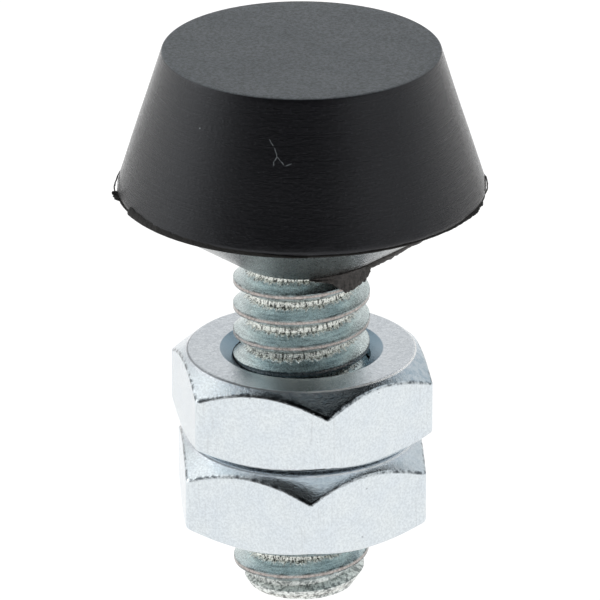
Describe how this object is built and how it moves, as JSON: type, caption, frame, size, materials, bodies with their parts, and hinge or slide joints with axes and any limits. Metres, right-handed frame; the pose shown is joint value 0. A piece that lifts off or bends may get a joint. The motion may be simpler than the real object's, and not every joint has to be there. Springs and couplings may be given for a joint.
{
  "type": "furniture leveling foot",
  "caption": "Tapered rubber pad bonded to the cone-shaped head of a threaded steel stud, with thin hexagon jam nuts that run along the thread to set and lock its height.",
  "frame": {"origin": "centre of the stud's plain end, the lowest point as the part stands in the picture", "axes": "+Z along the stud from its plain end to the rubber pad; the part is round about Z apart from the nuts' hexagons and the thread; -Y is the side that the picture shows"},
  "size_m": [0.0168, 0.0168, 0.0264],
  "materials": {
    "stud_steel": "satin zinc plate with turned lines on the cone and rolled-thread marks, slightly green-grey",
    "pad_rubber": "matte black moulded rubber with fine turned lines on its side and a thin torn moulding flash at its lower rim",
    "nut_steel": "bright bluish zinc plate, small pits and faint upright drawing lines on the flats"
  },
  "bodies": {
    "stud_and_pad": {"headed_stud": "stud_steel", "rubber_pad": "pad_rubber"},
    "upper_nut": {"upper_jam_nut": "nut_steel"},
    "lower_nut": {"lower_jam_nut": "nut_steel"}
  },
  "joints": [
    {"name": "upper_nut_travel", "type": "slide", "parent": "stud_and_pad", "child": "upper_nut", "axis": [0, 0, 1], "range_m": [0, 0.0049]},
    {"name": "lower_nut_travel", "type": "slide", "parent": "stud_and_pad", "child": "lower_nut", "axis": [0, 0, 1], "range_m": [-0.0032, 0]}
  ]
}
